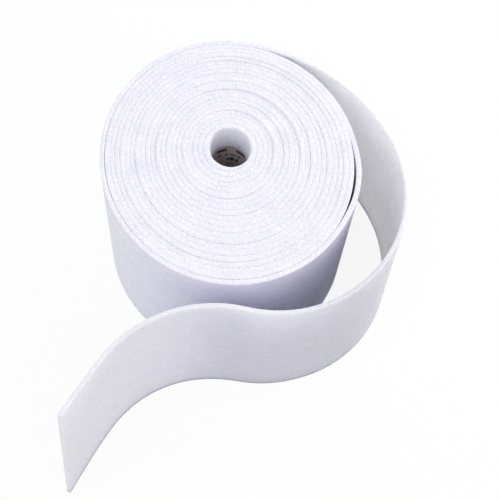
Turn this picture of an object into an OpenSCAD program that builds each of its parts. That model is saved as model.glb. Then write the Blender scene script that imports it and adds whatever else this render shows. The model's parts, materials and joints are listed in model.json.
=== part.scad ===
// Roll of foam wrap on a paper core, stood on its end with its free end pulled out.
// The foam is one strip: it is wound from the core outwards, then leaves the roll at
// the back, bends round the right-hand side, passes close in front and runs off to
// its cut end at the front left. The axis of the roll is Z, and it stands on Z = 0.

/* [Foam sheet] */
// Width of the sheet, which is the height of the roll on its end
sheet_width = 305; // [150:5:450]
// Thickness of the foam
foam_thick = 6; // [3:0.5:8]
// Turns wound on the core
turns = 20.75; // [8:0.25:30]
// Slack between one turn and the next
turn_gap = 0.9; // [0.2:0.05:1.5]
// How far each half turn has settled from the one inside it, away from where the tail leaves
settle = 0.34; // [0:0.01:0.5]

/* [Paper core] */
// Bore of the core
core_bore = 57; // [38:1:90]
// Wall of the core
core_wall = 2; // [1:0.5:6]
// How far the core's top end lies below the top of the roll
core_recess = 58; // [0:1:100]
// Clearance between the core and the first turn
core_clearance = 0.3; // [0.1:0.1:1]

/* [Loose turn] */
// How far the last turn stands off the roll where it has come loose
loose_lift = 3; // [0:0.5:6]
// Direction in which it stands off, in degrees from the right-hand side
loose_at = -5; // [-40:5:20]
// Angle over which it stands off
loose_span = 60; // [40:5:80]

/* [Tail] */
// Direction in which the tail leaves the roll, in degrees from the right-hand side
leave_at = 85; // [60:2.5:100]
// How much wider than the roll's own curve the first bend is
leave_ease = 93; // [60:1:160]
// Angle of the first bend
leave_sweep = 51; // [24:1:60]
// Angle of the bend round the side, where the foam keeps the roll's own curve
side_sweep = 131.5; // [120:0.5:150]
// Radius of the reverse bend in front of the roll
front_radius = 180; // [120:5:260]
// Angle of the reverse bend
front_sweep = 68.5; // [40:0.5:80]
// Radius of the last stretch, which is nearly straight
end_radius = 2000; // [400:50:4000]
// Length of the last stretch, along the bottom edge
end_run = 118; // [70:1:200]
// How much shorter the tail is at its top edge, because the cut slants
cut_slant = 32; // [0:1:60]

/* [Hidden] */

$fn = 128;
// Degrees between points along the last turn and the tail
bend_step = 3;
// Foam past the slanting cut, so that the cut goes right through
cut_waste = 5;
// How far the bore's cutter reaches past each end of the core
bore_waste = 1;
// Slack that stays between two turns where they have settled closest
least_gap = 0.2;

core_od = core_bore + 2 * core_wall;
core_length = sheet_width - core_recess;
pitch = foam_thick + turn_gap;
first_radius = core_od / 2 + core_clearance + foam_thick / 2;

// The roll is a spiral of half circles about two centres, a quarter of the pitch to
// each side of the axis, which settle by the same step from each half turn to the next.
// Half turn 0 is the outermost, and angles are counted from the direction in which the
// tail leaves.
innermost = ceil(2 * turns) - 1;
settle_step = min(settle, (turn_gap - least_gap) / 2);
function side(k) = k % 2 == 0 ? 1 : -1;
function half_turn_centre(k) = [side(k) * pitch / 4 - settle_step * (innermost - k), 0];
function half_turn_radius(k) = first_radius + pitch * (turns - 1 / 4 - k / 2) - side(k) * settle_step / 2;
roll_curve = half_turn_radius(0);

// The last turn and the tail are a chain of bends, each [radius, from, to]. The angles
// give the way the outer face looks, and they fall as the sheet runs clockwise. A bend
// that turns the other way has a negative radius, and its angles rise.
crest = 360 + loose_at - leave_at;
half_span = loose_span / 2;
shoulder = half_span / 2;
spread = sin(half_span) / sin(half_span - shoulder);
loose_ease = loose_lift / (1 - cos(half_span) - spread * (1 - cos(half_span - shoulder)));

// A flatter arc away from the roll, a tighter one at the crest and a flatter one back,
// which meet the roll's own curve without a kink
function loosened(radius) = [
    [radius, 360, crest + half_span],
    [radius + loose_ease, crest + half_span, crest + half_span - shoulder],
    [radius + loose_ease * (1 - spread), crest + half_span - shoulder, crest - half_span + shoulder],
    [radius + loose_ease, crest - half_span + shoulder, crest - half_span],
    [radius, crest - half_span, 180]
];

side_from = -leave_sweep;
front_from = side_from - side_sweep;
end_from = front_from + front_sweep;
end_to = end_from + (end_run + cut_waste) / end_radius * 180 / PI;

bends = concat(loosened(half_turn_radius(1)), [
    [roll_curve, 180, 0],
    [roll_curve + leave_ease, 0, side_from],
    [roll_curve, side_from, front_from],
    [-front_radius, front_from, end_from],
    [-end_radius, end_from, end_to]
]);
last_bend = len(bends) - 1;

function ray(angle) = [cos(angle), sin(angle)];

// Bends that meet share their tangent, so each centre follows from the one before
centres = [
    for (
        i = 0, centre = half_turn_centre(1);
        i <= last_bend;
        i = i + 1,
        centre = i > last_bend ? centre : centre + (bends[i - 1][0] - bends[i][0]) * ray(bends[i][1])
    ) centre
];

// Points along one face of the sheet, a distance out from its middle line
function face(shift) = [
    for (i = [0:last_bend])
        let (
            bend = bends[i],
            steps = ceil(abs(bend[2] - bend[1]) / bend_step)
        )
        for (j = [(i == 0 ? 0 : 1):steps])
            centres[i] + (bend[0] + shift) * ray(bend[1] + (bend[2] - bend[1]) * j / steps)
];

function reversed(points) = [for (i = [len(points) - 1:-1:0]) points[i]];

// The turns inside the last one, each half turn a true arc
module wound_turns() {
    for (k = [2:innermost])
        translate(half_turn_centre(k))
            rotate(180 * (k % 2))
                rotate_extrude(angle = 180 * min(1, 2 * turns - k))
                    translate([half_turn_radius(k) - foam_thick / 2, 0])
                        square([foam_thick, sheet_width]);
}

// The last turn, with its loose stretch, and the tail
module last_turn_and_tail() {
    linear_extrude(sheet_width)
        polygon(concat(face(foam_thick / 2), reversed(face(-foam_thick / 2))));
}

// The waste beyond the slanting cut at the end of the tail
module waste() {
    lean = cut_slant / sheet_width * cut_waste;
    translate(centres[last_bend] - end_radius * ray(end_to))
        rotate([90, 0, end_to - 90])
            linear_extrude(4 * foam_thick, center = true)
                polygon([
                    [-cut_waste + lean, -cut_waste],
                    [cut_waste, -cut_waste],
                    [cut_waste, sheet_width + cut_waste],
                    [-cut_waste - cut_slant - lean, sheet_width + cut_waste]
                ]);
}

// The whole sheet of foam, in one piece from its inner end to its cut end
module foam_roll() {
    color([0.92, 0.93, 0.98])
        rotate(leave_at)
            difference() {
                union() {
                    wound_turns();
                    last_turn_and_tail();
                }
                waste();
            }
}

// The plain tube of rolled paper that the foam is wound on
module paper_core() {
    color([0.5, 0.45, 0.44])
        difference() {
            cylinder(h = core_length, d = core_od);
            translate([0, 0, -bore_waste])
                cylinder(h = core_length + 2 * bore_waste, d = core_bore);
        }
}

foam_roll();
paper_core();
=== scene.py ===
import json
import math

import bpy
import numpy as np
from bpy.props import FloatProperty, FloatVectorProperty, PointerProperty
from mathutils import Matrix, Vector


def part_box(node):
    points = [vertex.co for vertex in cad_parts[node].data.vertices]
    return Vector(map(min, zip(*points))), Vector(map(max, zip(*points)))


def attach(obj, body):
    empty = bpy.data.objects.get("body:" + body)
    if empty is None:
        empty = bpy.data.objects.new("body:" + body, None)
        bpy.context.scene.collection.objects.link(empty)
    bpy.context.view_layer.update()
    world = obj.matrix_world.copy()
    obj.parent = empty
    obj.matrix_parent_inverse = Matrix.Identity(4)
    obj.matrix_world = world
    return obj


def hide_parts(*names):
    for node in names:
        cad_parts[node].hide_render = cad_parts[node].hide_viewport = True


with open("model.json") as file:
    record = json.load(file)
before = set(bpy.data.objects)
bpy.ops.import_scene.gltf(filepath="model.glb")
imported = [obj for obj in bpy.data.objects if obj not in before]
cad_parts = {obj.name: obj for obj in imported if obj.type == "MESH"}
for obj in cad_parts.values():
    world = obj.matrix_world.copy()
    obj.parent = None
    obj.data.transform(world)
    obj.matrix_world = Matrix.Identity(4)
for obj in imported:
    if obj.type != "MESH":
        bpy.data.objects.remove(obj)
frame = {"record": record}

bl_info = {
    "name": "Foam Wrap Roll",
    "version": (1, 0, 0),
    "blender": (4, 5, 0),
    "location": "View3D > Sidebar > Foam Roll",
    "description": "Roll of foam wrap on a paper core, with its free end pulled out",
    "category": "Mesh",
}

MM = 0.001
WHOLE_TURN = 2 * math.pi
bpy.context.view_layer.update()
FOAM_LOW, FOAM_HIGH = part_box("foam_roll")
CORE_LOW, CORE_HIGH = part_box("paper_core")
ROLL_HEIGHT = FOAM_HIGH.z - FOAM_LOW.z
BORE = next(mount for mount in frame["record"]["mounts"] if mount["name"] == "core_bore")

# Edges sharper than this get a radius, and edges flatter than this are shaded smooth
CUT_CORNER = math.radians(60)
SMOOTH_BELOW = math.radians(35)
CORE_SIDES = 128
# Parts of the foam strip's mesh: the most that a bend turns and runs from one point to the next,
# rows of points up its height, and more rows where it closes in above the core
BEND_STEP = math.radians(3)
LONGEST_STEP = 10 * MM
EVEN_ROWS = 7
ROWS_PAST_CORE = np.array([-1, 3, 8, 30, 46, 52]) * MM
# Thickness, as a share, that the strip's inner end is pressed to
PRESSED_THIN = 0.06
# Lengths past leaving the roll over which the tail comes away from the roll's settled shape, and
# over which light comes to it from both sides and painted shade comes into its colour
COMES_AWAY_OVER = 170 * MM
SINGLE_SHEET_OVER = 150 * MM
# Waves in the strip's edge: length in metres, where each starts, and its share of the height
EDGE_WAVES = ((1.31, 0.4, 0.5), (0.83, 2.1, 0.3), (0.29, 4.0, 0.2))
# Length past leaving the roll, and how far the tail's foot stands out beyond its top edge, in mm
FOOT_STANDS_OUT = (
    (0, 0), (180, 10), (350, 4), (560, 3), (670, 9), (800, 6.5), (875, 4.5), (980, 10),
)
# Every 10 mm along the tail, and how many of those steps the foot's line is eased over
FOOT_STEPS = np.linspace(-60, 1100, 117) * MM
FOOT_EASED_OVER = 11
# Heights above the core's end by which the foam has closed in, between which part of that is
# undone again, and between which it flares at the top, with the parts as shares
CLOSED_BY = 8 * MM
WIDENS = (20 * MM, 50 * MM)
WIDENS_BY = 0.3
FLARES = (46 * MM, 60 * MM)
FLARES_BY = 0.45
# Printed marks inside the core, repeated three times round it: middle and width in degrees,
# then how far the mark's middle lies below the roll's top and its height, in mm
PRINTED_MARKS = (
    (119, 23, 70.5, 7), (104, 6, 70.5, 7), (59, 30, 70.5, 7),
    (122, 12, 86, 4), (101, 8, 86, 4), (83, 14, 86, 4), (65, 9, 86, 4),
    (96, 6, 101, 8), (85, 12, 100, 11), (71, 8, 101, 9),
    (95, 8, 118, 4), (84, 6, 118, 4),
)
# The camera looks down on the roll from the front, a little rolled
CAMERA_AT = (0.0414, -0.8728, 2.2039)
CAMERA_LOOKS_DOWN = math.radians(69.02)
CAMERA_ROLLED = math.radians(5.93)
LENS_MM = 111.24
SENSOR_MM = 36
# Soft lamps, each with its place, size in metres and power in watts: one from the front left
# above, and one behind the tail that shines through its foam
SOFT_LAMPS = (
    ("front_lamp", (-0.5, -1.1, 3.0), 1.6, 22),
    ("back_lamp", (1.9, 1.6, 0.9), 1.2, 32),
)
# The world's light on the roll, the floor's width in metres, and how much of the floor's look is
# plain white, which leaves a faint shadow
STUDIO_LIGHT = 0.74
FLOOR_WIDTH = 12
FLOOR_GLOW = 0.9


def linear(hex_colour):
    """The linear colour that Blender wants, of an sRGB hex value"""
    parts = [int(hex_colour[i:i + 2], 16) / 255 for i in (1, 3, 5)]
    return [c / 12.92 if c <= 0.04045 else ((c + 0.055) / 1.055) ** 2.4 for c in parts]


def length(name, description, size):
    """A setting in metres"""
    return FloatProperty(name=name, description=description, default=size, unit="LENGTH")


def angle(name, description, degrees):
    """A setting that is given here in degrees and kept in radians"""
    return FloatProperty(
        name=name, description=description, default=math.radians(degrees), subtype="ANGLE")


def share(name, description, size):
    """A setting that is a share of something else"""
    return FloatProperty(name=name, description=description, default=size, subtype="FACTOR")


def colour(name, description, hex_colour):
    """A setting that is a colour"""
    return FloatVectorProperty(
        name=name, description=description, default=linear(hex_colour), subtype="COLOR",
        min=0, max=1)


class FoamSheetSettings(bpy.types.PropertyGroup):
    """The strip of foam as it is made"""

    width: length("Width", "Width of the sheet, which is the roll's height on its end", ROLL_HEIGHT)
    thick: length("Thickness", "Thickness of the foam", 6 * MM)
    cut_edge: length("Cut edge", "Radius that the knife leaves on the cut edges", 0.5 * MM)
    uneven: length("Uneven edge", "How far a turn's edge stands above or below the next", 0.7 * MM)
    tint: colour("Foam", "Colour of the foam", "#f4f5fc")


class WindingSettings(bpy.types.PropertyGroup):
    """How the strip is wound on the core"""

    turns: FloatProperty(name="Turns", description="Turns wound on the core", default=20.75)
    slack: length("Slack", "Slack between one turn and the next", 0.9 * MM)
    settle: length(
        "Settle", "How far each half turn has settled from the one inside it", 0.34 * MM)
    clearance: length("Core clearance", "Clearance between the core and the first turn", 0.3 * MM)
    closed_slack: length("Closed slack", "Slack that shows once the foam has swelled", 0.1 * MM)
    climb: share(
        "Climb", "Share of a turn over which each turn climbs over the strip's inner end", 0.35)
    loose_lift: length("Loose turn", "How far the last turn stands off where it is loose", 3 * MM)
    loose_at: angle("Loose at", "Direction in which the last turn stands off", -5)
    loose_span: angle("Loose over", "Angle over which the last turn stands off", 60)


class TailSettings(bpy.types.PropertyGroup):
    """The free end, from where it leaves the roll to its slanting cut"""

    leave_at: angle("Leaves at", "Direction in which the tail leaves the roll", 85)
    leave_ease: length(
        "First bend wider by", "First bend's radius less the roll's own curve", 93 * MM)
    leave_sweep: angle("First bend", "Angle of the first bend", 51)
    side_sweep: angle("Side bend", "Angle of the bend round the right-hand side", 131.5)
    front_radius: length(
        "Front radius", "Radius of the reverse bend in front of the roll", 180 * MM)
    front_sweep: angle("Front bend", "Angle of the reverse bend", 68.5)
    end_radius: length(
        "End radius", "Radius of the last stretch, which is nearly straight", 2000 * MM)
    end_run: length("End run", "Length of the last stretch along the bottom", 118 * MM)
    cut_slant: length("Cut slant", "How much shorter the tail is at its top edge", 32 * MM)


class StandingSettings(bpy.types.PropertyGroup):
    """How the soft roll has given way under its own weight"""

    push: share(
        "Pushed", "How far the outer turns lie to one side, as a share of their radius", 0.035)
    push_at: angle("Pushed towards", "Direction in which the outer turns lie off", -44)
    oval: share("Oval", "How far the roll is longer one way than the other", 0.017)
    oval_at: angle("Oval along", "Direction in which the roll is longest", -56)
    foot: share("Foot", "How much narrower the roll is at the bottom", 0.018)
    foot_shift: length(
        "Foot forwards", "How far the roll's bottom end lies towards the front", 2.4 * MM)
    close_in: length("Closed in", "How far the foam closes in above the core's end", 5.6 * MM)
    close_over: length(
        "Closed in over", "Distance from the hole over which that dies out", 14 * MM)


class CoreSettings(bpy.types.PropertyGroup):
    """The tube of rolled paper"""

    outer: length("Radius", "Outer radius of the core", CORE_HIGH.x)
    bore: length("Bore", "Radius of the core's bore", BORE["dims"]["r_mm"] * MM)
    height: length("Length", "Length of the core", CORE_HIGH.z - CORE_LOW.z)
    rim: length("Rim", "Radius on the edges of the core's cut ends", 0.3 * MM)
    paper: colour("Paper", "Colour of the paper", "#c4b9b9")
    print_ink: colour("Print", "Colour of the printed marks", "#231c28")


def ray(direction):
    """The unit vector of a direction, or of each direction in an array"""
    return np.stack([np.cos(direction), np.sin(direction)], axis=-1)


def smooth(value, low, high):
    """0 below low, 1 above high, and a soft step between"""
    t = np.clip((value - low) / (high - low), 0, 1)
    return t * t * (3 - 2 * t)


class Winding:
    """The line that the middle of the sheet follows, from its inner end to its cut. It is a chain
    of bends, each a radius and the directions between which its outer face looks, with directions
    counted from where the tail leaves. A bend that turns the other way has a negative radius."""

    def __init__(self, sheet, wind, tail):
        self.sheet = sheet
        self.wind = wind
        self.tail = tail
        self.pitch = sheet.thick + wind.slack
        self.first = CORE_HIGH.x + wind.clearance + sheet.thick / 2
        self.innermost = math.ceil(2 * wind.turns) - 1
        bends = []
        for k in range(self.innermost, 1, -1):
            bends.append((self.half_turn(k), math.pi * min(k + 1, 2 * wind.turns), math.pi * k))
        bends += self.last_turn()
        wound_bends = len(bends)
        bends += self.tail_bends()
        self.radius, self.start, self.stop = (np.array(column) for column in zip(*bends))
        self.run = np.abs(self.radius * (self.start - self.stop))
        self.reach = np.concatenate([[0.0], np.cumsum(self.run)])
        self.centre = self.centres()
        self.leaves = self.reach[wound_bends]
        self.end = self.reach[-1]
        self.outer = self.half_turn(0)
        self.outer_centre = self.centre[wound_bends - 1] @ self.own_axes()

    def side(self, k):
        """Side on which a half turn's centre lies: they take turns"""
        return 1 if k % 2 == 0 else -1

    def half_turn(self, k):
        """Radius of a half turn, counted inwards from 0, the outermost"""
        spiral = self.first + self.pitch * (self.wind.turns - 1 / 4 - k / 2)
        return spiral - self.side(k) * self.wind.settle / 2

    def last_turn(self):
        """A flatter bend away from the roll, a tighter one at the crest of the loose stretch and a
        flatter one back, without a kink, and then the outermost half turn"""
        radius = self.half_turn(1)
        crest = WHOLE_TURN + self.wind.loose_at - self.tail.leave_at
        half = self.wind.loose_span / 2
        shoulder = half / 2
        spread = math.sin(half) / math.sin(half - shoulder)
        rise = 1 - math.cos(half) - spread * (1 - math.cos(half - shoulder))
        ease = self.wind.loose_lift / rise
        return [
            (radius, WHOLE_TURN, crest + half),
            (radius + ease, crest + half, crest + half - shoulder),
            (radius + ease * (1 - spread), crest + half - shoulder, crest - half + shoulder),
            (radius + ease, crest - half + shoulder, crest - half),
            (radius, crest - half, math.pi),
            (self.half_turn(0), math.pi, 0.0),
        ]

    def tail_bends(self):
        tail = self.tail
        side = -tail.leave_sweep
        front = side - tail.side_sweep
        end = front + tail.front_sweep
        return [
            (self.half_turn(0) + tail.leave_ease, 0.0, side),
            (self.half_turn(0), side, front),
            (-tail.front_radius, front, end),
            (-tail.end_radius, end, end + tail.end_run / tail.end_radius),
        ]

    def centres(self):
        """Centres of the bends: two that meet share their tangent, so each follows from the last"""
        k = self.innermost
        centre = [(self.side(k) * self.pitch / 4) * ray(0.0)]
        for i in range(1, len(self.radius)):
            centre.append(centre[-1] + (self.radius[i - 1] - self.radius[i]) * ray(self.start[i]))
        return np.array(centre)

    def own_axes(self):
        """Directions in the roll of the line's own two axes"""
        leave_at = self.tail.leave_at
        return np.array([ray(leave_at), ray(leave_at + math.pi / 2)])

    def at(self, along):
        """Places of the middle line and its outward directions, at lengths along it"""
        i = np.clip(np.searchsorted(self.reach, along, side="right") - 1, 0, len(self.radius) - 1)
        part = (along - self.reach[i]) / self.run[i]
        looks = self.start[i] + (self.stop[i] - self.start[i]) * part
        place = self.centre[i] + self.radius[i][:, None] * ray(looks)
        return place @ self.own_axes(), looks + self.tail.leave_at

    def swell(self, along, looks):
        """How much thicker the wound foam is than the flat sheet, where it fills its slack"""
        spacing = self.pitch - 2 * self.wind.settle * np.cos(looks - self.tail.leave_at)
        wound = 1 - smooth(along, self.leaves - WHOLE_TURN * self.outer, self.leaves)
        return (spacing - self.sheet.thick - self.wind.closed_slack) * wound

    def turns_wound(self, looks):
        """Turns from the inner end, as whole turns and the part of a turn after them"""
        wound = self.wind.turns - (looks - self.tail.leave_at) / WHOLE_TURN
        rounding = 1e-9
        return np.floor(wound + rounding), np.mod(wound + rounding, 1)

    def pressed(self, looks):
        """Share of its thickness that the strip keeps: the second turn climbs over its inner end"""
        whole, part = self.turns_wound(looks)
        return np.where(whole < 1, np.maximum(smooth(part, 0, self.wind.climb), PRESSED_THIN), 1)

    def drawn_in(self, looks):
        """How far in from its spiral each turn lies, because the first one hugs the core"""
        whole, part = self.turns_wound(looks)
        climbed = smooth(part, 0, self.wind.climb)
        return self.pitch * np.where(whole < 1, part, 1 + part - climbed)

    def columns(self):
        """Lengths along the sheet at which its mesh has points"""
        lengths = [0.0]
        for reach, run, start, stop in zip(self.reach, self.run, self.start, self.stop):
            parts = math.ceil(max(abs(start - stop) / BEND_STEP, run / LONGEST_STEP))
            lengths += [reach + run * (n + 1) / parts for n in range(parts)]
        return np.array(lengths)


def apply_modifier(piece, kind, **settings):
    """Puts a modifier on the active piece and applies it"""
    modifier = piece.modifiers.new(kind.title(), kind)
    for name, value in settings.items():
        setattr(modifier, name, value)
    bpy.ops.object.modifier_apply(modifier=modifier.name)


def points(piece):
    """Places of a piece's points, one to a row"""
    places = np.empty(len(piece.data.vertices) * 3)
    piece.data.vertices.foreach_get("co", places)
    return places.reshape(-1, 3)


def move_points(piece, places):
    """Moves a piece's points to the places given"""
    piece.data.vertices.foreach_set("co", places.ravel())
    piece.data.update()


def face_outwards(piece):
    """Turns a piece's faces outwards and leaves it as the only one selected"""
    bpy.ops.object.select_all(action="DESELECT")
    piece.select_set(True)
    bpy.context.view_layer.objects.active = piece
    bpy.ops.object.mode_set(mode="EDIT")
    bpy.ops.mesh.select_all(action="SELECT")
    bpy.ops.mesh.normals_make_consistent(inside=False)
    bpy.ops.object.mode_set(mode="OBJECT")


class FOAMROLL_OT_foam_sheet(bpy.types.Operator):
    """Cuts the strip of foam flat, winds it on its line and lets it settle"""

    bl_idname = "foamroll.foam_sheet"
    bl_label = "Foam Sheet"

    def execute(self, context):
        sheet = context.scene.foam_sheet
        line = Winding(sheet, context.scene.foam_winding, context.scene.foam_tail)
        piece = self.flat_strip(sheet, line)

        # The strip is wound in code, point by point: no modifier lays it on a spiral of exact
        # radii, with a thickness and a lean that change along it
        along, across, out = points(piece).T
        height = across + sheet.width / 2
        along = self.slanting_cut(along, height, line)
        place, looks = line.at(along)
        out = out * (1 + line.swell(along, looks) / sheet.thick)
        out = (out + sheet.thick / 2) * line.pressed(looks) - sheet.thick / 2
        out = out + self.foot_stands_out(along, line) * (1 - height / sheet.width)
        place = place + out[:, None] * ray(looks)
        place = self.settled(place, along, looks, height, line, context.scene.foam_standing)
        height = height + self.edge_stands_up(along, sheet) * smooth(height, 0, sheet.width)
        move_points(piece, np.column_stack([place, height]))

        # The foam's material lets light through where this is 1, and there paints shade into the
        # foam's colour
        single = piece.data.attributes.new("single_sheet", "FLOAT", "POINT")
        single.data.foreach_set("value", smooth(along, line.leaves, line.leaves + SINGLE_SHEET_OVER))
        face_outwards(piece)
        bpy.ops.object.shade_smooth()
        piece.data.materials.append(extruded_foam(sheet))
        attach(piece, "root")
        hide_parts("foam_roll")
        return {"FINISHED"}

    def flat_strip(self, sheet, line):
        """The strip as it comes off the line, flat, with its knife-cut edges"""
        columns = line.columns()
        rows = np.linspace(0, sheet.width, EVEN_ROWS)
        rows = np.sort(np.append(rows, CORE_HIGH.z + ROWS_PAST_CORE))
        bpy.ops.object.select_all(action="DESELECT")
        bpy.ops.mesh.primitive_grid_add(
            x_subdivisions=len(columns) - 1, y_subdivisions=len(rows) - 1, size=1)
        piece = bpy.context.object
        piece.name = "wound_foam"
        places = points(piece)
        column = np.rint((places[:, 0] + 0.5) * (len(columns) - 1)).astype(int)
        row = np.rint((places[:, 1] + 0.5) * (len(rows) - 1)).astype(int)
        places[:, 0] = columns[column]
        places[:, 1] = rows[row] - sheet.width / 2
        move_points(piece, places)
        apply_modifier(piece, "SOLIDIFY", thickness=sheet.thick, offset=0)
        apply_modifier(
            piece, "BEVEL", width=sheet.cut_edge, segments=2, limit_method="ANGLE",
            angle_limit=CUT_CORNER, use_clamp_overlap=False)
        return piece

    def slanting_cut(self, along, height, line):
        """The end run is drawn back towards its top edge"""
        near_end = smooth(along, line.end - line.tail.end_run, line.end)
        return along - line.tail.cut_slant * near_end * height / ROLL_HEIGHT

    def foot_stands_out(self, along, line):
        """How far the tail's foot stands out: a soft line through the places where it is given"""
        past, stands_out = (np.array(column) * MM for column in zip(*FOOT_STANDS_OUT))
        ease = np.hanning(FOOT_EASED_OVER)
        sharp = np.interp(FOOT_STEPS, past, stands_out)
        eased = np.convolve(sharp, ease / ease.sum(), mode="same")
        return np.interp(along - line.leaves, FOOT_STEPS, eased)

    def edge_stands_up(self, along, sheet):
        """How far the turns' edges stand above or below each other"""
        return sheet.uneven * sum(
            part * np.sin(WHOLE_TURN * along / wave + at) for wave, at, part in EDGE_WAVES)

    def settled(self, place, along, looks, height, line, stand):
        """The roll gives way: its turns hug the core, it lies to one side, goes oval and narrows
        at the foot, and above the core its foam closes in"""
        from_axis = np.linalg.norm(place, axis=1)
        outward = np.clip((from_axis - line.first) / (line.outer - line.first), 0, 1)
        drawn_in = line.drawn_in(looks) * (1 - outward)
        place = place - place * (drawn_in / from_axis)[:, None]
        from_axis = np.linalg.norm(place, axis=1)

        from_centre = place - line.outer_centre
        towards = np.arctan2(from_centre[:, 1], from_centre[:, 0])
        down = 1 - height / ROLL_HEIGHT
        change = stand.push * np.cos(towards - stand.push_at)
        change = change + stand.oval * np.cos(2 * (towards - stand.oval_at))
        change = change - stand.foot * down
        held = 1 - smooth(along, line.leaves, line.leaves + COMES_AWAY_OVER)
        gives = (outward + smooth(outward, 0, 1)) / 2 * held
        place = place + from_centre * (change * gives)[:, None]
        place[:, 1] -= stand.foot_shift * down * gives

        above = height - CORE_HIGH.z
        closed = smooth(above, 0, CLOSED_BY) * (1 - WIDENS_BY * smooth(above, *WIDENS))
        closed = closed - FLARES_BY * smooth(above, *FLARES)
        from_hole = np.maximum(from_axis - CORE_HIGH.x, 0)
        inward = stand.close_in * closed * np.exp(-from_hole / stand.close_over)
        return place - place * (inward / from_axis)[:, None]


def add(tree, kind, settings=None, **links):
    """Adds a node, sets its settings, and sets or links its inputs by name or number"""
    node = tree.nodes.new(kind)
    for name, value in (settings or {}).items():
        setattr(node, name, value)
    for name, value in links.items():
        key = int(name[1:]) if name[0] == "i" and name[1:].isdigit() else name.replace("_", " ")
        if isinstance(value, bpy.types.NodeSocket):
            tree.links.new(value, node.inputs[key])
        else:
            node.inputs[key].default_value = value
    return node


def maths(tree, operation, a, b=0.0, c=0.0):
    """What an operation makes of up to three values, each the output of a node or a number"""
    return add(tree, "ShaderNodeMath", {"operation": operation}, i0=a, i1=b, i2=c).outputs[0]


def noise(tree, where, size, detail, roughness=0.5):
    """Noise from 0 to 1, whose largest features are about a size across"""
    node = add(tree, "ShaderNodeTexNoise",
               Vector=where, Scale=1 / size, Detail=detail, Roughness=roughness)
    return node.outputs["Fac"]


def mixed(tree, factor, a, b, blend="MIX"):
    """A mix of two colours, each the output of a node or a linear colour"""
    a, b = (c if isinstance(c, bpy.types.NodeSocket) else (*c, 1) for c in (a, b))
    node = add(tree, "ShaderNodeMix", {"data_type": "RGBA", "blend_type": blend},
               Factor=factor, i6=a, i7=b)
    return node.outputs[2]


def times(tone, factors):
    """A linear colour, darker or lighter by a factor for each part"""
    return [min(1.0, part * factor) for part, factor in zip(tone, factors)]


def new_material(name):
    """A material with an output and nothing else in it"""
    material = bpy.data.materials.new(name)
    material.use_nodes = True
    tree = material.node_tree
    tree.nodes.clear()
    output = add(tree, "ShaderNodeOutputMaterial")
    return material, tree, output


def extruded_foam(sheet):
    """Extruded polyethylene foam: closed cells about a millimetre across under a thin skin, which
    give it a soft, faintly dimpled, slightly see-through white"""
    # The real cells are finer than a pixel of the photograph, so these are coarser
    cell, clump, fleck, cloud = 2.4 * MM, 9 * MM, 3.5 * MM, 30 * MM
    clump_depth, fleck_depth = 0.8, 1.6  # against 1 for the cells and for the clouds
    dimple_depth = 1.2 * MM
    # Paler and deeper tones of the foam's own mottling, then the painted shade multiplied into the
    # tail's colour
    pale, deep, painted_tail_shade = (1.03, 1.03, 1.03), (0.90, 0.89, 0.93), (0.91, 0.885, 1.0)
    # How far light travels through the foam's cells, and the share of that for each colour
    light_travels = 42 * MM
    light_shares = (0.85, 0.85, 0.75)

    material, tree, output = new_material("extruded_polyethylene_foam")
    where = add(tree, "ShaderNodeTexCoord").outputs["Object"]

    # Dimples of the cells, with wider clumps of them
    cells = add(tree, "ShaderNodeTexVoronoi", {"feature": "SMOOTH_F1"},
                Vector=where, Scale=1 / cell, Smoothness=0.6)
    relief = maths(tree, "MULTIPLY_ADD", noise(tree, where, clump, 3.0, 0.6), clump_depth,
                   cells.outputs["Distance"])
    bump = add(tree, "ShaderNodeBump", Strength=0.8, Distance=dimple_depth, Height=relief)

    # Faint flecks and clouds, where cells of more or less plastic lie close
    uneven = maths(tree, "MULTIPLY_ADD", noise(tree, where, fleck, 2.0), fleck_depth,
                   noise(tree, where, cloud, 4.0, 0.65))
    shade = add(tree, "ShaderNodeMapRange", Value=uneven, From_Min=0.9, From_Max=1.7)
    tint = mixed(tree, shade.outputs["Result"], times(sheet.tint, deep), times(sheet.tint, pale))

    # Where the sheet is single, light passes through it; there its colour is also multiplied darker
    # and more lavender, painted shade on the tail, whose front faces away from the lamps
    single = add(tree, "ShaderNodeAttribute", {"attribute_name": "single_sheet"}).outputs["Fac"]
    foam = add(tree, "ShaderNodeBsdfPrincipled",
               Base_Color=mixed(tree, single, tint, painted_tail_shade, "MULTIPLY"), Roughness=0.6, IOR=1.5,
               Normal=bump.outputs["Normal"], Specular_IOR_Level=0.25, Subsurface_Weight=single,
               Subsurface_Radius=light_shares, Subsurface_Scale=light_travels)
    tree.links.new(foam.outputs[0], output.inputs["Surface"])
    return material


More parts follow.
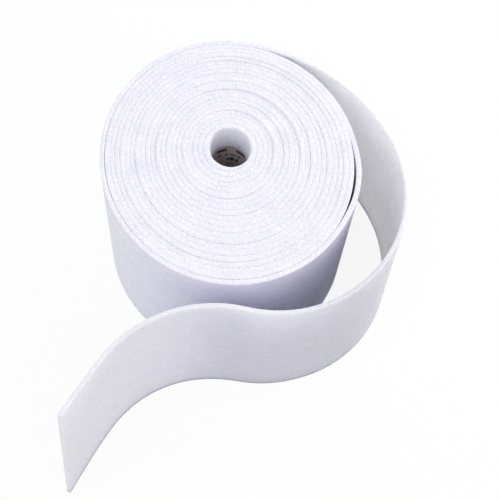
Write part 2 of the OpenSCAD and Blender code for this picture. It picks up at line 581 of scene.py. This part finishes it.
def rolled_paper(core):
    """Recycled paper wound in a spiral and glued: matt grey-brown with short fibres, a dark seam
    line where the strip's edges meet, and plain printed bars"""
    fibre, fibre_depth = 2.5 * MM, 0.3 * MM
    dark, light, glue = (0.72,) * 3, (1.2,) * 3, (0.35,) * 3
    # The seam climbs by its lead in a turn, and is a line of twice the half width
    seam_lead, seam_half, seam_shows = 95 * MM, 0.35 * MM, 0.6
    # The marks lie between these directions in degrees, and their ends are ragged by up to one
    third_from, third_to, ragged_by = 40.0, 160.0, 1.0
    rag_size, ink_shows = 1.5 * MM, 0.92

    material, tree, output = new_material("spiral_wound_paper")
    where = add(tree, "ShaderNodeTexCoord").outputs["Object"]
    axes = add(tree, "ShaderNodeSeparateXYZ", Vector=where).outputs
    turn = maths(tree, "ARCTAN2", axes["Y"], axes["X"])

    # Short fibres, and the dark line of the seam
    fibres = noise(tree, where, fibre, 6.0, 0.7)
    paper = mixed(tree, fibres, times(core.paper, dark), times(core.paper, light))
    helix = maths(tree, "MULTIPLY_ADD", turn, seam_lead / WHOLE_TURN, axes["Z"])
    from_seam = maths(tree, "PINGPONG", helix, seam_lead / 2)
    seam = maths(tree, "LESS_THAN", from_seam, seam_half)
    glued = maths(tree, "MULTIPLY", seam, seam_shows)
    seamed = mixed(tree, glued, paper, times(core.paper, glue))

    # Printed bars with slightly ragged ends, the same on each third of the way round
    degrees = maths(tree, "MULTIPLY", turn, 180 / math.pi)
    third = maths(tree, "WRAP", degrees, third_to, third_from)
    rag = noise(tree, where, rag_size, 2.0)
    ragged = maths(tree, "MULTIPLY_ADD", rag, 2 * ragged_by, -ragged_by)
    third = maths(tree, "ADD", third, ragged)
    printed = 0.0
    for middle, width, below, tall in PRINTED_MARKS:
        across = maths(tree, "COMPARE", third, middle, width / 2)
        height = FOAM_HIGH.z - below * MM
        down = maths(tree, "COMPARE", axes["Z"], height, tall / 2 * MM)
        mark = maths(tree, "MULTIPLY", across, down)
        printed = maths(tree, "MAXIMUM", printed, mark)
    ink = maths(tree, "MULTIPLY", printed, ink_shows)
    inked = mixed(tree, ink, seamed, core.print_ink)

    # Raised fibres, and a groove at the seam
    relief = maths(tree, "SUBTRACT", fibres, seam)
    bump = add(tree, "ShaderNodeBump", Strength=0.4, Distance=fibre_depth, Height=relief)
    matt = add(tree, "ShaderNodeBsdfPrincipled", Base_Color=inked, Roughness=0.85,
               Normal=bump.outputs["Normal"], Specular_IOR_Level=0.2)
    tree.links.new(matt.outputs[0], output.inputs["Surface"])
    return material


class FOAMROLL_OT_paper_core(bpy.types.Operator):
    """Makes the tube of rolled paper that the foam is wound on"""

    bl_idname = "foamroll.paper_core"
    bl_label = "Paper Core"

    def execute(self, context):
        core = context.scene.foam_core
        bpy.ops.object.select_all(action="DESELECT")
        bpy.ops.mesh.primitive_cylinder_add(
            vertices=CORE_SIDES, radius=core.outer, depth=core.height, end_fill_type="NOTHING",
            location=(0, 0, CORE_LOW.z + core.height / 2))
        piece = context.object
        piece.name = "paper_tube"
        bpy.ops.object.transform_apply(location=True, rotation=True, scale=True)
        apply_modifier(piece, "SOLIDIFY", thickness=core.outer - core.bore, offset=-1)
        apply_modifier(
            piece, "BEVEL", width=core.rim, segments=2, limit_method="ANGLE",
            angle_limit=CUT_CORNER)
        face_outwards(piece)
        bpy.ops.object.shade_smooth_by_angle(angle=SMOOTH_BELOW)
        piece.data.materials.append(rolled_paper(core))
        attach(piece, "root")
        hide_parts("paper_core")
        return {"FINISHED"}


def seen_rays(tree):
    """1 for rays from the camera, and for those that reflect or pass through to what it sees"""
    path = add(tree, "ShaderNodeLightPath").outputs
    direct = maths(tree, "MAXIMUM", path["Is Camera Ray"], path["Is Glossy Ray"])
    return maths(tree, "MAXIMUM", direct, path["Is Transmission Ray"])


def white_paper_floor():
    """A sheet of white background paper, which stays nearly white but keeps the roll's shadow"""
    material, tree, output = new_material("white_background_paper")
    paper = add(tree, "ShaderNodeBsdfDiffuse", Color=(0.9, 0.9, 0.9, 1))
    glow = add(tree, "ShaderNodeEmission", Color=(1, 1, 1, 1), Strength=1.0)
    both = add(tree, "ShaderNodeMixShader", i0=maths(tree, "MULTIPLY", seen_rays(tree), FLOOR_GLOW),
               i1=paper.outputs[0], i2=glow.outputs[0])
    tree.links.new(both.outputs[0], output.inputs["Surface"])
    return material


def white_studio():
    """White for what the camera sees, and an even soft light on the roll"""
    world = bpy.data.worlds.new("white_studio")
    world.use_nodes = True
    tree = world.node_tree
    tree.nodes.clear()
    light = add(tree, "ShaderNodeBackground", Color=(0.98, 0.98, 1, 1), Strength=STUDIO_LIGHT)
    white = add(tree, "ShaderNodeBackground", Color=(1, 1, 1, 1), Strength=1.0)
    both = add(tree, "ShaderNodeMixShader",
               i0=seen_rays(tree), i1=light.outputs[0], i2=white.outputs[0])
    output = add(tree, "ShaderNodeOutputWorld")
    tree.links.new(both.outputs[0], output.inputs["Surface"])
    return world


class FOAMROLL_OT_stage(bpy.types.Operator):
    """Sets the camera, the floor, the soft lamps and the world"""

    bl_idname = "foamroll.stage"
    bl_label = "Stage"

    def execute(self, context):
        scene = context.scene
        bpy.ops.object.camera_add(location=CAMERA_AT)
        camera = context.object
        camera.name = "camera"
        camera.data.sensor_width = SENSOR_MM
        camera.data.lens = LENS_MM
        tilt = Matrix.Rotation(math.pi / 2 - CAMERA_LOOKS_DOWN, 3, "X")
        camera.rotation_euler = (tilt @ Matrix.Rotation(CAMERA_ROLLED, 3, "Z")).to_euler()
        scene.camera = camera
        bpy.ops.mesh.primitive_plane_add(size=FLOOR_WIDTH)
        floor = context.object
        floor.name = "floor"
        floor.data.materials.append(white_paper_floor())
        for name, place, size, watts in SOFT_LAMPS:
            bpy.ops.object.light_add(type="AREA", location=place)
            lamp = context.object
            lamp.name = name
            lamp.data.shape = "DISK"
            lamp.data.size = size
            lamp.data.energy = watts
            lamp.rotation_euler = (-lamp.location).to_track_quat("-Z", "Y").to_euler()
        scene.world = white_studio()
        scene.view_settings.view_transform = "Standard"
        return {"FINISHED"}


SETTINGS = {
    "foam_sheet": FoamSheetSettings,
    "foam_winding": WindingSettings,
    "foam_tail": TailSettings,
    "foam_standing": StandingSettings,
    "foam_core": CoreSettings,
}
OPERATORS = (FOAMROLL_OT_foam_sheet, FOAMROLL_OT_paper_core, FOAMROLL_OT_stage)


class FOAMROLL_PT_panel(bpy.types.Panel):
    """Lists the roll's settings and the steps that make it"""

    bl_label = "Foam Roll"
    bl_idname = "FOAMROLL_PT_panel"
    bl_space_type = "VIEW_3D"
    bl_region_type = "UI"
    bl_category = "Foam Roll"

    def draw(self, context):
        """A button for each step, then a box for each group of settings"""
        for operator in OPERATORS:
            self.layout.operator(operator.bl_idname)
        for name, group in SETTINGS.items():
            box = self.layout.box()
            box.label(text=group.__doc__)
            for setting in group.__annotations__:
                box.prop(getattr(context.scene, name), setting)


def register():
    """Adds the settings, the steps and the panel to Blender"""
    for group in SETTINGS.values():
        bpy.utils.register_class(group)
    for operator in OPERATORS:
        bpy.utils.register_class(operator)
    bpy.utils.register_class(FOAMROLL_PT_panel)
    for name, group in SETTINGS.items():
        setattr(bpy.types.Scene, name, PointerProperty(type=group))


def unregister():
    """Takes them out again"""
    for name in SETTINGS:
        delattr(bpy.types.Scene, name)
    bpy.utils.unregister_class(FOAMROLL_PT_panel)
    for operator in reversed(OPERATORS):
        bpy.utils.unregister_class(operator)
    for group in reversed(SETTINGS.values()):
        bpy.utils.unregister_class(group)


def main():
    """Makes the roll and its stage"""
    register()
    bpy.ops.foamroll.foam_sheet()
    bpy.ops.foamroll.paper_core()
    bpy.ops.foamroll.stage()


if __name__ == "__main__":
    main()
